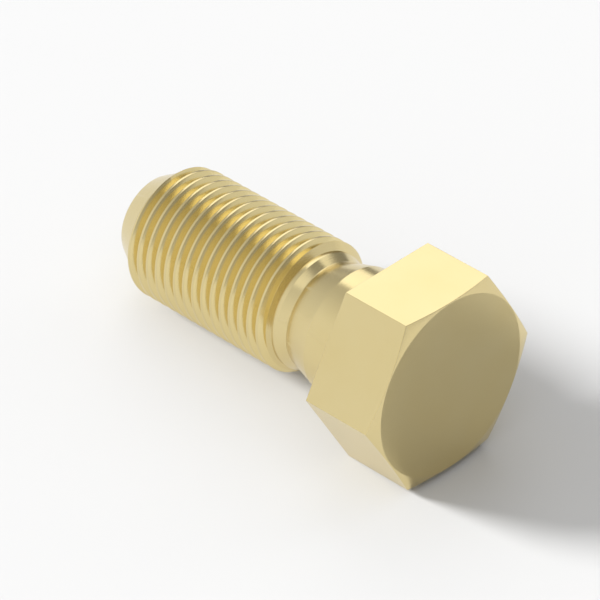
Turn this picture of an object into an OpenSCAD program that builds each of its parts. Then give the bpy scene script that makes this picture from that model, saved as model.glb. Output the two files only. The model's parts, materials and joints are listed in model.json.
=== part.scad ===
// Hex head screw turned from one brass bar: chamfered hexagon, plain neck that tapers to a waist,
// fine right-hand thread and a blunt conical point. It lies at rest on z = 0 as it would on a bench,
// on the rear edge of its lowest flat and on the last full thread crest. Millimetres.
// Stations are measured along the screw from the bearing face under the head, towards the point.

/* [Head] */
// width across the flats of the hexagon
across_flats = 19; // [17:0.5:22]
// bearing face to front face
head_height = 8.2; // [6:0.1:12]
// slope of the corner chamfer, measured from the front face
corner_chamfer_angle = 16; // [10:1:30]
// diameter of the round front face as a share of the width across flats
front_face_share = 0.99; // [0.9:0.01:0.99]

/* [Neck] */
// diameter of the plain collar next to the head
collar_diameter = 13.06; // [12:0.02:13.5]
// bearing face to the end of the collar
collar_length = 4.7; // [2:0.1:6]
// smallest diameter of the neck
waist_diameter = 11.16; // [10:0.02:11.8]
// bearing face to the waist
waist_station = 8; // [7:0.1:8.4]
// half angle of the cone that rises from the waist to the thread
shoulder_angle = 30; // [25:1:40]
// diameter of the short land where the thread runs out
land_diameter = 12.2; // [11.9:0.02:12.24]

/* [Thread] */
// M14 fine thread, over the crests, a little under its nominal size as a real one is
major_diameter = 13.85; // [13.76:0.01:13.97]
// rise of the thread per turn
pitch = 1.25; // [1:0.05:1.25]
// flat width of the crests, more than an eighth of the pitch because they are turned a little low
crest_width = 0.24; // [0.16:0.01:0.28]
// bearing face to the start of the thread
thread_start = 9.4; // [9.2:0.1:10]
// slope of the faces that end the thread, measured from the screw's axis
thread_end_angle = 60; // [56:1:60]
// number of steps the thread is cut in per turn
steps_per_turn = 60; // [36:12:60]

/* [Point] */
// bearing face to the end of the screw
screw_length = 31.6; // [24:0.2:36]
// last full crest to the end of the screw
point_length = 3.34; // [3.2:0.02:3.5]
// diameter of the flat end
point_diameter = 9.2; // [8:0.1:9.5]
// half angle of the point's cone
point_angle = 30; // [28:1:31]

/* [Hidden] */
$fn = 96;

flat_r = across_flats / 2;
corner_r = flat_r / cos(30);
front_face_r = flat_r * front_face_share;
collar_r = collar_diameter / 2;
waist_r = waist_diameter / 2;
land_r = land_diameter / 2;
major_r = major_diameter / 2;
point_r = point_diameter / 2;

// ISO metric profile: each flank leans 30 degrees and the groove takes 17/24 of the height of the full
// triangle
flank_angle = 30;
depth_share = 17 / 24;
thread_depth = depth_share * pitch / (2 * tan(flank_angle));
root_r = major_r - thread_depth;
flank_width = thread_depth * tan(flank_angle);
thread_end = screw_length - point_length;
// a crest passes this station on the side of the screw that is this many degrees round from +Y
crest_station = 19.52;
crest_bearing = 45.8;

// turned pieces stay this much inside the stepped thread so that their walls never graze it
seat_gap = 0.03;
overlap = 1;
// two corners of a thread section closer than this are one
merge_distance = 0.004;
// corners of two neighbouring sections this close to one step of the helix apart face each other
match_distance = 0.001;

// outline that the thread is cut into: rises from the land, full, falls to the point's cone
start_r = land_r + seat_gap;
full_from = thread_start + (major_r - start_r) / tan(thread_end_angle);
cone_at_end_r = point_r + (screw_length - thread_end) * tan(point_angle);
shoulder_drop = (major_r - cone_at_end_r) / (tan(thread_end_angle) - tan(point_angle));
cone_from = thread_end + shoulder_drop;
cone_from_r = major_r - shoulder_drop * tan(thread_end_angle);
stop_r = min(root_r, cone_from_r) - 2 * seat_gap;
thread_stop = screw_length - (stop_r - point_r) / tan(point_angle);
blank = [
    [thread_start, start_r],
    [full_from, major_r],
    [thread_end, major_r],
    [cone_from, cone_from_r],
    [thread_stop, stop_r]
];

// radius of the endless thread at a station, on the side of the screw given by its bearing
function thread_r(station, bearing) =
    let (
        turns = (station - crest_station) / pitch - (bearing - crest_bearing) / 360,
        off = abs(turns - round(turns)) * pitch - crest_width / 2
    )
    off <= 0 ? major_r : max(root_r, major_r - off / tan(flank_angle));

function blank_r(station) = lookup(station, blank);

// how far the blank stands out of the thread, negative where the blank is the smaller
function proud(station, bearing) = blank_r(station) - thread_r(station, bearing);

function sorted(list) =
    len(list) < 2 ? list :
    let (
        pivot = list[floor(len(list) / 2)],
        lower = [for (v = list) if (v[0] < pivot[0]) v],
        same = [for (v = list) if (v[0] == pivot[0]) v],
        upper = [for (v = list) if (v[0] > pivot[0]) v]
    )
    concat(sorted(lower), same, sorted(upper));

// corners of the thread's own section on one side of the screw, as [station, 0]
function thread_corners(bearing) =
    let (
        shift = crest_station + pitch * (bearing - crest_bearing) / 360,
        first = floor((thread_start - shift) / pitch) - 1,
        last = ceil((thread_stop - shift) / pitch) + 1,
        half = crest_width / 2
    )
    [
        for (k = [first:last])
            for (d = [-half - flank_width, -half, half, half + flank_width])
                let (s = shift + k * pitch + d)
                    if (s > thread_start + merge_distance && s < thread_stop - merge_distance) [s, 0]
    ];

// corners of the blank, as [station, 1]
blank_corners = [for (c = blank) [c[0], 1]];

// a corner counts where its own outline is the smaller one, and both ends always count
function counts(corner, bearing) =
    let (p = proud(corner[0], bearing))
    corner[0] <= thread_start || corner[0] >= thread_stop || (corner[1] == 0 ? p >= 0 : p <= 0);

// section on one side of the screw as [station, radius]: the smaller of blank and thread
function section(bearing) =
    let (
        all = sorted(concat(thread_corners(bearing), blank_corners)),
        marks = [
            for (i = [0:len(all) - 1])
                let (
                    a = all[i][0],
                    b = all[min(i + 1, len(all) - 1)][0],
                    pa = proud(a, bearing),
                    pb = proud(b, bearing)
                )
                each concat(
                    counts(all[i], bearing) ? [a] : [],
                    pa * pb < 0 ? [a + (b - a) * pa / (pa - pb)] : []
                )
        ],
        kept = [
            for (i = [0:len(marks) - 1])
                if (i == 0 || i == len(marks) - 1 || marks[i] - marks[i - 1] > merge_distance
                    && thread_stop - marks[i] > merge_distance)
                    marks[i]
        ]
    )
    [for (s = kept) [s, min(blank_r(s), thread_r(s, bearing))]];

bearings = [for (j = [0:steps_per_turn - 1]) 360 * j / steps_per_turn];
sections = [for (b = bearings) section(b)];
counts_before = [
    for (j = 0, n = 0; j <= steps_per_turn; n = n + (j < steps_per_turn ? len(sections[j]) : 0), j = j + 1) n
];

// faces that join one section to the next, walking both from the head to the point
function strip(j) =
    let (
        a = sections[j],
        next = (j + 1) % steps_per_turn,
        b = sections[next],
        a0 = counts_before[j],
        b0 = counts_before[next],
        lag = pitch / steps_per_turn,
        na = len(a) - 1,
        nb = len(b) - 1
    )
    [
        for (
            i = 0,
            k = 0,
            go_a = a[1][0] <= b[1][0] - lag + match_distance;
            i < na || k < nb;
            i = i + (go_a ? 1 : 0),
            k = k + (go_a ? 0 : 1),
            go_a = k >= nb || (i < na && a[i + 1][0] <= b[k + 1][0] - lag + match_distance)
        )
        go_a ? [a0 + i, a0 + i + 1, b0 + k] : [a0 + i, b0 + k + 1, b0 + k]
    ];

// rest: it tips forward on the edge of its lowest flat until a crest of its underside is reached
under_bearing = 270;
rest_tilt = min([for (c = section(under_bearing)) atan((flat_r - c[1]) / c[0])]);
lift = flat_r * cos(rest_tilt);
rear_reach = head_height * cos(rest_tilt) + front_face_r * sin(rest_tilt);
front_reach = screw_length * cos(rest_tilt) + point_r * sin(rest_tilt);
middle = (front_reach - rear_reach) / 2;

module turned(outline) {
    rotate([0, 90, 0])
        rotate_extrude()
            polygon([for (c = outline) [c[1], c[0]]]);
}

// hexagon with its front corners turned back to a round face
module head() {
    bar_r = corner_r + overlap;
    intersection() {
        translate([-head_height - overlap, 0, 0])
            rotate([0, 90, 0])
                rotate([0, 0, 30])
                    cylinder(h = head_height + overlap, r = corner_r, $fn = 6);
        turned([
            [-head_height, 0],
            [-head_height, front_face_r],
            [-head_height + (bar_r - front_face_r) * tan(corner_chamfer_angle), bar_r],
            [overlap, bar_r],
            [overlap, 0]
        ]);
    }
}

// collar, taper to the waist, shoulder and land, with a spigot inside the thread
module neck() {
    turned([
        [-overlap, 0],
        [-overlap, collar_r],
        [collar_length, collar_r],
        [waist_station, waist_r],
        [waist_station + (land_r - waist_r) / tan(shoulder_angle), land_r],
        [thread_start + overlap, land_r],
        [thread_start + overlap, 0]
    ]);
}

// threaded length: one section on each side of the screw, each a step further along the helix
module thread() {
    corners = [
        for (j = [0:steps_per_turn - 1])
            for (c = sections[j])
                [c[0], c[1] * cos(bearings[j]), c[1] * sin(bearings[j])]
    ];
    head_end = [for (j = [0:steps_per_turn - 1]) counts_before[j]];
    point_end = [for (j = [steps_per_turn - 1:-1:0]) counts_before[j + 1] - 1];
    polyhedron(
        points = corners,
        faces = concat([head_end, point_end], [for (j = [0:steps_per_turn - 1]) each strip(j)]),
        convexity = 30
    );
}

// blunt cone with a spigot inside the thread
module point() {
    spigot_r = stop_r - seat_gap;
    cone_start = screw_length - (spigot_r - point_r) / tan(point_angle);
    turned([
        [thread_stop - overlap, 0],
        [thread_stop - overlap, spigot_r],
        [cone_start, spigot_r],
        [screw_length, point_r],
        [screw_length, 0]
    ]);
}

module hex_head_screw() {
    color("#D8BE7A")
        translate([-middle, 0, lift])
            rotate([0, rest_tilt, 0])
                union() {
                    head();
                    neck();
                    thread();
                    point();
                }
}

hex_head_screw();
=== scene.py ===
"""Looks of a brass hex head screw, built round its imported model.

One mesh stands for the screw: its outline is worked out on many sides of its axis, each a step further
along the helix, and joined side to side. A point of an outline is fixed where it keeps its station on
every side, and goes with the helix where it doesn't. Lengths are in metres and angles in radians.
Stations run along the screw from the bearing face under the head, and a bearing is an angle round it,
from the corner of the hexagon at +Y up towards +Z.
"""

import json
import math

import bmesh
import bpy
from bpy.props import FloatProperty, FloatVectorProperty, IntProperty, PointerProperty, StringProperty
from mathutils import Matrix, Vector


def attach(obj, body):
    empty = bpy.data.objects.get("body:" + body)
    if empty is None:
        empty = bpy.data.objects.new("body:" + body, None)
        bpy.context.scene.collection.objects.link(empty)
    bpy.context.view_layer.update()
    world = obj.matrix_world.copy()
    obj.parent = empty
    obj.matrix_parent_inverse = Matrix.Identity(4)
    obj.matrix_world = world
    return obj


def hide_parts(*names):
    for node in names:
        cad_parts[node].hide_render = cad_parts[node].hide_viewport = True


bl_info = {
    "name": "Hex Head Screw",
    "version": (1, 0, 0),
    "blender": (4, 5, 0),
    "location": "3D View > Sidebar > Screw",
    "description": "Builds a turned brass hex head screw and the table it lies on",
    "category": "Object",
}

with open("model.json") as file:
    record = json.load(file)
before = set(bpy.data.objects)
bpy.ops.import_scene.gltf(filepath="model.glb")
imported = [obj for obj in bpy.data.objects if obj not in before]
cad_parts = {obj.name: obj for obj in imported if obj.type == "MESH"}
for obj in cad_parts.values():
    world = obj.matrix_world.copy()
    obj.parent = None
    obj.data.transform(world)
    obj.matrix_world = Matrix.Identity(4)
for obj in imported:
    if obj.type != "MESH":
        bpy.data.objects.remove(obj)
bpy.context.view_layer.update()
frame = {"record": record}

MM = 0.001
NODE = "hex_head_screw"
BODY = "root"

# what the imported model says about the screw's place and main sizes
MOUNTS = {m["name"]: m for m in frame["record"]["mounts"]}
SEAT = Vector(MOUNTS["bearing_face"]["pos_m"])
AXIS = Vector(MOUNTS["bearing_face"]["axis"])
THREAD_TIP = Vector(MOUNTS["thread"]["pos_m"])
REST_TILT = math.atan2(-AXIS.z, AXIS.x)
ACROSS_FLATS = 2 * MOUNTS["wrench_hexagon"]["dims"]["r_mm"] * MM
HEAD_HEIGHT = MOUNTS["wrench_hexagon"]["dims"]["length_mm"] * MM
CREST_RADIUS = MOUNTS["thread"]["dims"]["r_mm"] * MM
THREAD_END = (THREAD_TIP - SEAT).length
THREAD_START = THREAD_END - MOUNTS["thread"]["dims"]["length_mm"] * MM

# two points of an outline closer than this along the screw are one
MERGE = 0.0008 * MM
# faces that meet at more than this keep a sharp edge between them
SHARP_FROM = math.radians(32)
# a rounded corner takes up to this share of the stretch on either side of it
CORNER_SHARE = 0.45
# an ISO groove takes this share of the height of the full triangle
DEPTH_SHARE = 17 / 24

# softboxes round the screw: azimuth and elevation in degrees, width and height in metres, and the
# brightness that each adds to the room's, where 1 is white
SOFTBOXES = {
    "back_softbox": (-46, 44, 1.9, 3.3, 1.15),
    "top_softbox": (155, 68, 1.8, 1.8, 0.48),
    "far_softbox": (-102, 40, 1.2, 1.8, 0.9),
    "right_softbox": (-137, 13, 4.0, 1.4, 0.51),
}
LAMP_DISTANCE = 3.0
CLIP_START = 10 * MM


class ScrewSizes(bpy.types.PropertyGroup):
    """Sizes of the screw"""

    across_flats: FloatProperty(
        name="Across flats", description="Width of the hexagon", default=ACROSS_FLATS, unit="LENGTH"
    )
    head_height: FloatProperty(
        name="Head height", description="Bearing face to front face", default=HEAD_HEIGHT, unit="LENGTH"
    )
    chamfer_angle: FloatProperty(
        name="Chamfer angle",
        description="Slope of the corner chamfer against the front face",
        default=math.radians(16),
        subtype="ANGLE",
    )
    front_share: FloatProperty(
        name="Front face share",
        description="Diameter of the round front face as a share of the width across flats",
        default=0.99,
        subtype="FACTOR",
    )
    collar_radius: FloatProperty(
        name="Collar radius",
        description="Plain collar next to the head",
        default=6.53 * MM,
        unit="LENGTH",
    )
    collar_length: FloatProperty(
        name="Collar length",
        description="Bearing face to the end of the collar",
        default=4.7 * MM,
        unit="LENGTH",
    )
    waist_radius: FloatProperty(
        name="Waist radius", description="Smallest radius of the neck", default=5.58 * MM, unit="LENGTH"
    )
    waist_station: FloatProperty(
        name="Waist station", description="Bearing face to the waist", default=8 * MM, unit="LENGTH"
    )
    shoulder_angle: FloatProperty(
        name="Shoulder angle",
        description="Half angle of the cone that rises from the waist to the thread",
        default=math.radians(30),
        subtype="ANGLE",
    )
    land_radius: FloatProperty(
        name="Land radius", description="Land where the thread starts", default=6.1 * MM, unit="LENGTH"
    )
    crest_radius: FloatProperty(
        name="Crest radius", description="Thread over its crests", default=CREST_RADIUS, unit="LENGTH"
    )
    pitch: FloatProperty(
        name="Pitch", description="Rise of the thread per turn", default=1.25 * MM, unit="LENGTH"
    )
    crest_width: FloatProperty(
        name="Crest width", description="Flat top of the thread", default=0.24 * MM, unit="LENGTH"
    )
    thread_end_angle: FloatProperty(
        name="Thread end angle",
        description="Slope of the faces that end the thread against the axis",
        default=math.radians(60),
        subtype="ANGLE",
    )
    screw_length: FloatProperty(
        name="Screw length", description="Bearing face to the end", default=31.6 * MM, unit="LENGTH"
    )
    point_radius: FloatProperty(
        name="Point radius", description="Radius of the flat end", default=4.6 * MM, unit="LENGTH"
    )
    point_angle: FloatProperty(
        name="Point angle",
        description="Half angle of the point's cone",
        default=math.radians(30),
        subtype="ANGLE",
    )
    crest_station: FloatProperty(
        name="Crest station",
        description="Where a crest passes on the side of the screw given by the crest bearing",
        default=19.52 * MM,
        unit="LENGTH",
    )
    crest_bearing: FloatProperty(
        name="Crest bearing",
        description="Side of the screw on which the crest station holds",
        default=math.radians(45.8),
        subtype="ANGLE",
    )
    edge_radius: FloatProperty(
        name="Edge radius", description="Rounding of the turned edges", default=0.06 * MM, unit="LENGTH"
    )
    corner_radius: FloatProperty(
        name="Corner radius",
        description="Rounding of the hexagon's corners",
        default=0.08 * MM,
        unit="LENGTH",
    )
    crest_edge_radius: FloatProperty(
        name="Crest edge radius",
        description="Rounding of the crests' edges",
        default=0.03 * MM,
        unit="LENGTH",
    )
    sides: IntProperty(
        name="Sides", description="Outlines in a turn, a multiple of six", default=180, min=36
    )


class ScrewFinish(bpy.types.PropertyGroup):
    """Colours and marks of the brass"""

    tint: StringProperty(name="Tint", description="Brass seen straight on, sRGB hex", default="DFCF9E")
    tint_deep: StringProperty(
        name="Deep tint",
        description="Brass where the skin has toned a little, sRGB hex",
        default="DAC78F",
    )
    # painted reflection: this tint on the walls of the thread stands in for the deeper gold that light
    # bouncing between the walls gives; it is not a different brass
    groove_painted_bounce_tint: StringProperty(
        name="Groove tint",
        description="Fresh brass on the walls of the thread, sRGB hex",
        default="E5D49D",
    )
    roughness: FloatProperty(
        name="Roughness",
        description="Micro roughness of the turned brass",
        default=0.2,
        subtype="FACTOR",
    )
    roughness_spread: FloatProperty(
        name="Roughness spread",
        description="Change from one tool mark to the next",
        default=0.03,
        subtype="FACTOR",
    )
    groove_from: FloatProperty(
        name="Groove from",
        description="Depth at which a wall of the thread starts",
        default=0.02 * MM,
        unit="LENGTH",
    )
    # painted reflection: the painted groove tint fades in between these two depths
    groove_full: FloatProperty(
        name="Groove full",
        description="Depth at which the groove's own colour is full",
        default=0.08 * MM,
        unit="LENGTH",
    )
    feed: FloatProperty(
        name="Tool feed", description="Width of one tool mark", default=0.16 * MM, unit="LENGTH"
    )
    feed_depth: FloatProperty(
        name="Tool mark depth",
        description="Height of the tool marks",
        default=0.0025 * MM,
        unit="LENGTH",
    )
    cloud: FloatProperty(
        name="Cloud size",
        description="Size of the patches in the brass's tone",
        default=6 * MM,
        unit="LENGTH",
    )


class StageSettings(bpy.types.PropertyGroup):
    """Camera, table and light"""

    lens: FloatProperty(name="Lens", description="Focal length in millimetres", default=302.9)
    distance: FloatProperty(
        name="Distance",
        description="Camera to the point that it looks at",
        default=481.14 * MM,
        unit="LENGTH",
    )
    azimuth: FloatProperty(
        name="Azimuth",
        description="Camera's bearing from +X towards +Y",
        default=math.radians(132.83),
        subtype="ANGLE",
    )
    elevation: FloatProperty(
        name="Elevation",
        description="Camera's height over the horizon",
        default=math.radians(39.39),
        subtype="ANGLE",
    )
    roll: FloatProperty(
        name="Roll",
        description="Turn of the camera about its own view",
        default=math.radians(3.34),
        subtype="ANGLE",
    )
    aim: FloatVectorProperty(
        name="Aim",
        description="Point that the camera looks at",
        default=(-0.07 * MM, 0.28 * MM, 8.7 * MM),
        subtype="TRANSLATION",
        unit="LENGTH",
    )
    table_tint: StringProperty(
        name="Table tint", description="Pale paper that the screw lies on, sRGB hex", default="CDCDCD"
    )
    table_reach: FloatProperty(
        name="Table reach", description="Middle of the table to its edge", default=6.0, unit="LENGTH"
    )
    key: FloatProperty(
        name="Key",
        description="Brightness that the side lamp alone gives white paper, 1 is white",
        default=0.78,
    )
    key_azimuth: FloatProperty(
        name="Key azimuth",
        description="Bearing that the side lamp shines from",
        default=math.radians(36),
        subtype="ANGLE",
    )
    key_elevation: FloatProperty(
        name="Key elevation",
        description="Its height over the horizon",
        default=math.radians(26),
        subtype="ANGLE",
    )
    key_spread: FloatProperty(
        name="Key spread",
        description="Its size in the sky, which softens the shadow",
        default=math.radians(16),
        subtype="ANGLE",
    )
    room_way: FloatVectorProperty(
        name="Room's bright side",
        description="Way to the brightest wall of the room",
        default=(0.32, 0.94, -0.11),
    )
    room_from: FloatProperty(
        name="Dark up to",
        description="Where the room starts to brighten, -1 straight away from that way",
        default=-0.55,
    )
    room_to: FloatProperty(
        name="Bright from",
        description="Where the room is at its brightest, 1 straight that way",
        default=0.79,
    )
    room_dark: FloatProperty(
        name="Room's dark side",
        description="Brightness, 1 is white",
        default=0.3,
    )
    room_light: FloatProperty(
        name="Room's light side",
        description="Brightness, 1 is white",
        default=0.96,
    )


def linear(code):
    """An sRGB hex colour as linear red, green, blue and alpha."""
    parts = [int(code[i : i + 2], 16) / 255 for i in (0, 2, 4)]
    return (*[p / 12.92 if p <= 0.04045 else ((p + 0.055) / 1.055) ** 2.4 for p in parts], 1.0)


def add_node(tree, kind, settings=None, inputs=None):
    """Adds a node, sets its properties, and fills or links its inputs."""
    node = tree.nodes.new(kind)
    for name, value in (settings or {}).items():
        setattr(node, name, value)
    for name, value in (inputs or {}).items():
        socket = node.inputs[name]
        if isinstance(value, bpy.types.NodeSocket):
            tree.links.new(value, socket)
        else:
            socket.default_value = value
    return node


def rounded(outline, steps=3):
    """Rounds the corners of an outline of (station, radius, corner radius) with arcs."""
    points = [Vector(c[:2]) for c in outline]
    made = []
    for i, (here, corner) in enumerate(zip(points, outline)):
        if corner[2] == 0:
            made.append(here)
            continue
        back = points[i - 1] - here
        ahead = points[i + 1] - here
        half = back.angle(ahead) / 2
        longest = CORNER_SHARE * min(back.length, ahead.length)
        reach = min(corner[2] / math.tan(half), longest)
        middle = here + (back.normalized() + ahead.normalized()).normalized() * reach / math.cos(half)
        spoke = here + back.normalized() * reach - middle
        sweep = (math.pi - 2 * half) * (-1 if back.cross(ahead) > 0 else 1)
        for k in range(steps + 1):
            made.append(middle + Matrix.Rotation(sweep * k / steps, 2) @ spoke)
    return made


def corner_middle(s):
    """Distance from the axis to the middle of the arc that rounds a corner of the hexagon."""
    return (s.across_flats / 2 - s.corner_radius) / math.cos(math.pi / 6)


def corner_reach(s):
    """Half the angle that a rounded corner of the hexagon takes, seen from the axis."""
    ahead = corner_middle(s) + s.corner_radius * math.cos(math.pi / 6)
    return math.atan2(s.corner_radius / 2, ahead)


def hexagon_radius(s, bearing):
    """Distance from the axis to the hexagon, with a rounded corner at every sixth of a turn."""
    sixth = math.pi / 3
    off = abs((bearing + sixth / 2) % sixth - sixth / 2)
    middle = corner_middle(s)
    if off < corner_reach(s):
        return middle * math.cos(off) + math.sqrt(s.corner_radius**2 - (middle * math.sin(off)) ** 2)
    return s.across_flats / 2 / math.cos(sixth / 2 - off)


def bearings(s):
    """Sides on which the outline is worked out: even steps, with more round each corner."""
    even = [2 * math.pi * k / s.sides for k in range(s.sides)]
    reach = corner_reach(s)
    close = [
        (sixth * math.pi / 3 + off) % (2 * math.pi)
        for sixth in range(6)
        for off in (-reach, -reach / 2, reach / 2, reach)
    ]
    return sorted(even + close)


def head_and_neck(s, bearing):
    """Outline from the middle of the front face to the start of the thread."""
    out = hexagon_radius(s, bearing)
    front = s.across_flats / 2 * s.front_share
    chamfer = (out - front) * math.tan(s.chamfer_angle)
    shoulder = (s.land_radius - s.waist_radius) / math.tan(s.shoulder_angle)
    return rounded(
        [
            (-s.head_height, 0, 0),
            (-s.head_height, front, s.edge_radius),
            (-s.head_height + chamfer, out, s.edge_radius),
            (0, out, s.edge_radius),
            (0, s.collar_radius, s.edge_radius),
            (s.collar_length, s.collar_radius, 2 * s.edge_radius),
            (s.waist_station, s.waist_radius, 2 * s.edge_radius),
            (s.waist_station + shoulder, s.land_radius, s.edge_radius),
            (THREAD_START, s.land_radius, 0),
        ]
    )


def blank(s):
    """Outline that the thread is cut into: rises from the land, full, falls to the point's cone."""
    rise = math.tan(s.thread_end_angle)
    fall = math.tan(s.point_angle)
    cone = s.point_radius + (s.screw_length - THREAD_END) * fall
    drop = (s.crest_radius - cone) / (rise - fall)
    last = s.screw_length - (root_radius(s) - MERGE - s.point_radius) / fall
    return [
        Vector((THREAD_START, s.land_radius)),
        Vector((THREAD_START + (s.crest_radius - s.land_radius) / rise, s.crest_radius)),
        Vector((THREAD_END, s.crest_radius)),
        Vector((THREAD_END + drop, s.crest_radius - drop * rise)),
        Vector((last, s.point_radius + (s.screw_length - last) * fall)),
    ]


def triangle_height(s):
    """Height of the full triangle of the 60 degree profile."""
    return s.pitch * math.cos(math.pi / 6)


def root_radius(s):
    """Radius at the bottom of the groove."""
    return s.crest_radius - DEPTH_SHARE * triangle_height(s)


def thread_turn(s):
    """One turn of the thread from root to root, as (distance from the crest's middle, radius)."""
    root = root_radius(s)
    crest_edge = s.crest_width / 2
    flank_foot = crest_edge + (s.crest_radius - root) * math.tan(math.pi / 6)
    half = rounded(
        [
            (0, s.crest_radius, 0),
            (crest_edge, s.crest_radius, s.crest_edge_radius),
            (flank_foot, root, 0),
            (s.pitch / 2, root, 0),
        ]
    )[1:]
    return [Vector((-p.x, p.y)) for p in reversed(half[:-1])] + half


def height_at(outline, station):
    """Radius of an outline at a station, by straight lines between its points."""
    for a, b in zip(outline, outline[1:]):
        if station <= b.x:
            return a.y + (b.y - a.y) * (station - a.x) / (b.x - a.x)
    return outline[-1].y


def thread_outline(s, bearing, turn, cut):
    """Endless thread on one side of the screw, a turn past both ends of the blank."""
    shift = s.crest_station + s.pitch * (bearing - s.crest_bearing) / (2 * math.pi)
    first = math.floor((cut[0].x - shift) / s.pitch) - 1
    last = math.ceil((cut[-1].x - shift) / s.pitch) + 1
    return [Vector((shift + k * s.pitch + p.x, p.y)) for k in range(first, last + 1) for p in turn]


def both_heights(thread, cut):
    """Every corner of thread and blank, as (station, fixed, radius of the thread, radius of the blank)."""
    inside = [p for p in thread if cut[0].x + MERGE < p.x < cut[-1].x - MERGE]
    marks = sorted([(p.x, False) for p in inside] + [(p.x, True) for p in cut])
    heights = []
    at = 0
    for station, fixed in marks:
        while thread[at + 1].x < station:
            at += 1
        heights.append((station, fixed, height_at(thread[at : at + 2], station), height_at(cut, station)))
    return heights


def threaded(s, bearing, turn, cut):
    """Outline of the threaded length on one side, the smaller of thread and blank, as (point, fixed)."""
    heights = both_heights(thread_outline(s, bearing, turn, cut), cut)
    made = []
    for (station, fixed, groove, bar), ahead in zip(heights, heights[1:] + heights[-1:]):
        at_end = station in (cut[0].x, cut[-1].x)
        if at_end or (bar <= groove if fixed else groove <= bar):
            made.append((Vector((station, min(groove, bar))), fixed))
        here_over = bar - groove
        next_over = ahead[3] - ahead[2]
        if here_over * next_over < 0:
            cross = station + (ahead[0] - station) * here_over / (here_over - next_over)
            made.append((Vector((cross, height_at(cut, cross))), False))
    kept = made[:1]
    for point, fixed in made[1:-1]:
        if kept[-1][0].x + MERGE < point.x < made[-1][0].x - MERGE:
            kept.append((point, fixed))
    return kept + made[-1:]


def point_tail(s):
    """Outline from the last of the thread to the middle of the flat end."""
    rounded_tail = rounded(
        [
            (THREAD_END, s.point_radius + (s.screw_length - THREAD_END) * math.tan(s.point_angle), 0),
            (s.screw_length, s.point_radius, s.edge_radius),
            (s.screw_length, 0, 0),
        ]
    )
    return rounded_tail[1:]


def quads(mesh, here, ahead, steps):
    """Joins two neighbouring sides straight across at the steps where both have the same points."""
    for i in steps:
        mesh.faces.new((here[i][0], ahead[i][0], ahead[i + 1][0], here[i + 1][0]))


def strip(mesh, here, ahead, lag):
    """Joins the threads of two neighbouring sides, each a list of (vertex, station, fixed).

    Points that match make a quad. Elsewhere the side that lags behind takes the next step.
    """
    i = k = 0
    while i + 1 < len(here) or k + 1 < len(ahead):
        left = here[i + 1][1] if i + 1 < len(here) else math.inf
        right = ahead[k + 1][1] if k + 1 < len(ahead) else math.inf
        paired = max(left, right) < math.inf and here[i + 1][2] == ahead[k + 1][2]
        if paired:
            step = 0 if here[i + 1][2] else lag
            paired = abs(left + step - right) < MERGE
        if paired:
            mesh.faces.new((here[i][0], ahead[k][0], ahead[k + 1][0], here[i + 1][0]))
            i += 1
            k += 1
        elif left <= right - lag:
            mesh.faces.new((here[i][0], ahead[k][0], here[i + 1][0]))
            i += 1
        else:
            mesh.faces.new((here[i][0], ahead[k][0], ahead[k + 1][0]))
            k += 1


def screw_mesh(s):
    """The whole screw as one closed mesh along +X, with its bearing face at the origin."""
    mesh = bmesh.new()
    turn = thread_turn(s)
    cut = blank(s)
    angles = bearings(s)
    sides = []
    for bearing in angles:
        outline = [(p, True) for p in head_and_neck(s, bearing)[1:-1]]
        outline += threaded(s, bearing, turn, cut)
        outline += [(p, True) for p in point_tail(s)[:-1]]
        across = Vector((0, math.cos(bearing), math.sin(bearing)))
        sides.append([(mesh.verts.new(Vector((p.x, 0, 0)) + across * p.y), p.x, f) for p, f in outline])
    head_count = len(head_and_neck(s, 0)) - 2
    tail_count = len(point_tail(s)) - 1
    for j, side in enumerate(sides):
        beside = sides[(j + 1) % len(sides)]
        turned = (angles[(j + 1) % len(sides)] - angles[j]) % (2 * math.pi)
        lag = s.pitch * turned / (2 * math.pi)
        quads(mesh, side, beside, range(head_count))
        strip(mesh, side[head_count:-tail_count], beside[head_count:-tail_count], lag)
        quads(mesh, side, beside, range(-tail_count - 1, -1))
    mesh.faces.new([side[0][0] for side in sides])
    mesh.faces.new([side[-1][0] for side in reversed(sides)])
    bmesh.ops.recalc_face_normals(mesh, faces=mesh.faces)
    return mesh


def calc(tree, operation, *values):
    """Adds a math node on numbers or sockets and gives its result."""
    return add_node(tree, "ShaderNodeMath", {"operation": operation}, dict(enumerate(values))).outputs[0]


def painted_groove_mask(tree, along, out, sizes, finish):
    """Where the painted groove tint goes: from 0 on the surface of the bar that the thread is cut into to
    1 on the walls of the groove.
    """
    steep = math.tan(sizes.thread_end_angle)
    rise = calc(tree, "MULTIPLY_ADD", along, steep, sizes.land_radius - THREAD_START * steep)
    fall = calc(tree, "MULTIPLY_ADD", along, -steep, sizes.crest_radius + THREAD_END * steep)
    bar = calc(tree, "MINIMUM", calc(tree, "MINIMUM", rise, fall), sizes.crest_radius)
    depth = calc(tree, "SUBTRACT", bar, out)
    # nothing nearer the axis than the root is a wall of the groove, so the flat end isn't one
    over_root = calc(tree, "ADD", out, 2 * finish.groove_full - root_radius(sizes))
    mask = add_node(
        tree,
        "ShaderNodeMapRange",
        inputs={
            "Value": calc(tree, "MINIMUM", depth, over_root),
            "From Min": finish.groove_from,
            "From Max": finish.groove_full,
        },
    )
    return mask.outputs[0]


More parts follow.
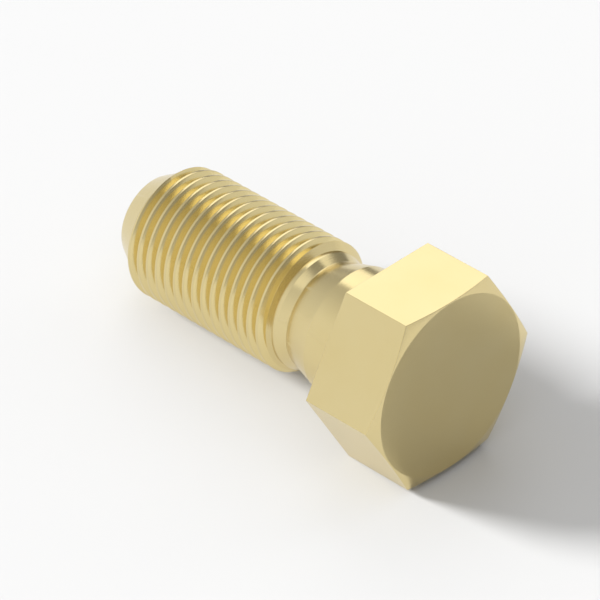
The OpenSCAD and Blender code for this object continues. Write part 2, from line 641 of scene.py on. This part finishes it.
def turned_brass(finish, sizes):
    """Free-cutting brass fresh from the lathe.

    It gives the eye a warm pale gold, soft mirror images of the room, and fine rings round the axis that
    spread them a little. The walls of the thread carry a painted deeper gold, which stands in for light
    bouncing between them.
    """
    material = bpy.data.materials.new("turned_brass")
    material.use_nodes = True
    tree = material.node_tree
    shader = tree.nodes["Principled BSDF"]
    shader.inputs["Metallic"].default_value = 1.0

    # place on the screw: along its axis from the bearing face, and out from the axis
    coordinates = add_node(tree, "ShaderNodeTexCoord")
    place = add_node(
        tree,
        "ShaderNodeMapping",
        {"vector_type": "TEXTURE"},
        {"Vector": coordinates.outputs["Object"], "Location": SEAT, "Rotation": (0, REST_TILT, 0)},
    )
    parts = add_node(tree, "ShaderNodeSeparateXYZ", inputs={0: place.outputs[0]})
    along = parts.outputs[0]
    across = add_node(tree, "ShaderNodeCombineXYZ", inputs={1: parts.outputs[1], 2: parts.outputs[2]})
    length = add_node(tree, "ShaderNodeVectorMath", {"operation": "LENGTH"}, {0: across.outputs[0]})
    out = length.outputs["Value"]
    # mask for the painted groove tint, 1 on the walls of the thread
    groove = painted_groove_mask(tree, along, out, sizes, finish)

    # the tool leaves rings one feed apart on walls, cones and the faces at both ends alike
    rings = add_node(
        tree,
        "ShaderNodeTexNoise",
        {"noise_dimensions": "1D"},
        {"W": calc(tree, "ADD", along, out), "Scale": 1 / finish.feed, "Roughness": 0.6},
    ).outputs["Fac"]

    # the skin has toned in soft patches, and the walls of the thread get a painted deeper gold that stands
    # in for light bouncing in the groove
    cloud = add_node(
        tree,
        "ShaderNodeTexNoise",
        inputs={"Vector": place.outputs[0], "Scale": 1 / finish.cloud, "Detail": 3.0},
    )
    tone = add_node(
        tree,
        "ShaderNodeMix",
        {"data_type": "RGBA"},
        {"Factor": cloud.outputs["Fac"], 6: linear(finish.tint), 7: linear(finish.tint_deep)},
    )
    colour = add_node(
        tree,
        "ShaderNodeMix",
        {"data_type": "RGBA"},
        {"Factor": groove, 6: tone.outputs[2], 7: linear(finish.groove_painted_bounce_tint)},
    )
    tree.links.new(colour.outputs[2], shader.inputs["Base Color"])

    # the rings change the gloss a little and stand out as faint ridges
    spread = add_node(
        tree,
        "ShaderNodeMapRange",
        inputs={
            "Value": rings,
            "To Min": finish.roughness - finish.roughness_spread,
            "To Max": finish.roughness + finish.roughness_spread,
        },
    )
    tree.links.new(spread.outputs[0], shader.inputs["Roughness"])
    relief = add_node(tree, "ShaderNodeBump", inputs={"Height": rings, "Distance": finish.feed_depth})
    tree.links.new(relief.outputs[0], shader.inputs["Normal"])
    return material


class SCREW_OT_turn(bpy.types.Operator):
    """Build the screw: head, neck, thread and point in one mesh"""

    bl_idname = "screw.turn"
    bl_label = "Turn the screw"

    def execute(self, context):
        sizes = context.scene.screw_sizes
        made = screw_mesh(sizes)
        lying = Matrix.Translation(SEAT) @ Matrix.Rotation(REST_TILT, 4, "Y")
        bmesh.ops.transform(made, matrix=lying, verts=made.verts)
        data = bpy.data.meshes.new("screw")
        made.to_mesh(data)
        made.free()
        data.shade_smooth()
        data.set_sharp_from_angle(angle=SHARP_FROM)
        data.materials.append(turned_brass(context.scene.screw_finish, sizes))
        piece = bpy.data.objects.new("screw", data)
        context.scene.collection.objects.link(piece)
        shading = piece.modifiers.new("even_shading", "WEIGHTED_NORMAL")
        shading.keep_sharp = True
        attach(piece, BODY)
        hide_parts(NODE)
        return {"FINISHED"}


def aim(obj, target, azimuth, elevation, distance, roll=0.0):
    """Puts a lamp or camera round a target, looking at it."""
    flat = math.cos(elevation)
    way = Vector((flat * math.cos(azimuth), flat * math.sin(azimuth), math.sin(elevation)))
    turn = (
        Matrix.Rotation(azimuth + math.pi / 2, 4, "Z")
        @ Matrix.Rotation(math.pi / 2 - elevation, 4, "X")
        @ Matrix.Rotation(roll, 4, "Z")
    )
    obj.matrix_world = Matrix.Translation(target + way * distance) @ turn


def white_paper(tint):
    """Uncoated white paper: no gloss, so that the table shows only its colour and the screw's shadow."""
    material = bpy.data.materials.new("white_paper")
    material.use_nodes = True
    shader = material.node_tree.nodes["Principled BSDF"]
    shader.inputs["Base Color"].default_value = linear(tint)
    shader.inputs["Roughness"].default_value = 0.9
    shader.inputs["Specular IOR Level"].default_value = 0.0
    return material


def lay_table(scene, stage):
    """A flat table under the screw, wide enough to fill the view and the screw's reflections."""
    reach = stage.table_reach
    table = bpy.data.meshes.new("table")
    corners = [(-reach, -reach, 0), (reach, -reach, 0), (reach, reach, 0), (-reach, reach, 0)]
    table.from_pydata(corners, [], [(0, 1, 2, 3)])
    table.materials.append(white_paper(stage.table_tint))
    surface = bpy.data.objects.new("table", table)
    scene.collection.objects.link(surface)


def hang_softbox(scene, name, azimuth, elevation, width, height, brightness):
    """An area lamp that the brass mirrors, of the power that gives its face that brightness."""
    data = bpy.data.lights.new(name, "AREA")
    data.shape = "RECTANGLE"
    data.size = width
    data.size_y = height
    data.energy = brightness * math.pi * width * height
    lamp = bpy.data.objects.new(name, data)
    scene.collection.objects.link(lamp)
    aim(lamp, Vector((0, 0, SEAT.z)), math.radians(azimuth), math.radians(elevation), LAMP_DISTANCE)


def hang_key(scene, stage):
    """The side lamp, which lights the table and casts the shadow, and which the brass doesn't mirror.

    White paper sends back a pi-th of the light that falls on it, and slanting light falls thinner.
    """
    data = bpy.data.lights.new("side_lamp", "SUN")
    data.angle = stage.key_spread
    data.energy = stage.key * math.pi / math.sin(stage.key_elevation)
    lamp = bpy.data.objects.new("side_lamp", data)
    lamp.visible_glossy = False
    scene.collection.objects.link(lamp)
    aim(lamp, Vector((0, 0, SEAT.z)), stage.key_azimuth, stage.key_elevation, LAMP_DISTANCE)


def studio_room(stage):
    """White walls all round, brighter on one side, which give the brass its gradients."""
    world = bpy.data.worlds.new("studio_room")
    world.use_nodes = True
    tree = world.node_tree
    way = Vector(stage.room_way).normalized()
    view = add_node(tree, "ShaderNodeTexCoord")
    toward = add_node(
        tree, "ShaderNodeVectorMath", {"operation": "DOT_PRODUCT"}, {0: view.outputs["Generated"], 1: way}
    )
    glow = add_node(
        tree,
        "ShaderNodeMapRange",
        inputs={
            "Value": toward.outputs["Value"],
            "From Min": stage.room_from,
            "From Max": stage.room_to,
            "To Min": stage.room_dark,
            "To Max": stage.room_light,
        },
    )
    walls = tree.nodes["Background"]
    walls.inputs["Color"].default_value = linear("FFFFFF")
    tree.links.new(glow.outputs[0], walls.inputs["Strength"])
    return world


class SCREW_OT_stage(bpy.types.Operator):
    """Lay the table, hang the lamps and set the camera"""

    bl_idname = "screw.stage"
    bl_label = "Set the stage"

    def execute(self, context):
        scene = context.scene
        stage = scene.screw_stage
        camera = bpy.data.objects.new("camera", bpy.data.cameras.new("camera"))
        camera.data.lens = stage.lens
        camera.data.clip_start = CLIP_START
        scene.collection.objects.link(camera)
        scene.camera = camera
        aim(camera, Vector(stage.aim), stage.azimuth, stage.elevation, stage.distance, stage.roll)
        lay_table(scene, stage)
        for name, settings in SOFTBOXES.items():
            hang_softbox(scene, name, *settings)
        hang_key(scene, stage)
        scene.world = studio_room(stage)
        scene.view_settings.view_transform = "Standard"
        return {"FINISHED"}


class SCREW_PT_panel(bpy.types.Panel):
    """Sidebar panel with the sizes, the finish and the two buttons"""

    bl_label = "Hex Head Screw"
    bl_idname = "SCREW_PT_panel"
    bl_space_type = "VIEW_3D"
    bl_region_type = "UI"
    bl_category = "Screw"

    def draw(self, context):
        for group in (context.scene.screw_sizes, context.scene.screw_finish, context.scene.screw_stage):
            box = self.layout.box()
            for name in group.__annotations__:
                box.prop(group, name)
        self.layout.operator(SCREW_OT_turn.bl_idname)
        self.layout.operator(SCREW_OT_stage.bl_idname)


CLASSES = (ScrewSizes, ScrewFinish, StageSettings, SCREW_OT_turn, SCREW_OT_stage, SCREW_PT_panel)


def register():
    """Adds the classes to Blender and the settings to the scene."""
    for kind in CLASSES:
        bpy.utils.register_class(kind)
    bpy.types.Scene.screw_sizes = PointerProperty(type=ScrewSizes)
    bpy.types.Scene.screw_finish = PointerProperty(type=ScrewFinish)
    bpy.types.Scene.screw_stage = PointerProperty(type=StageSettings)


def unregister():
    """Takes the settings and the classes away again."""
    del bpy.types.Scene.screw_stage
    del bpy.types.Scene.screw_finish
    del bpy.types.Scene.screw_sizes
    for kind in reversed(CLASSES):
        bpy.utils.unregister_class(kind)


def main():
    """Builds the screw and its stage."""
    register()
    bpy.ops.screw.turn()
    bpy.ops.screw.stage()
    bpy.context.view_layer.update()


if __name__ == "__main__":
    main()
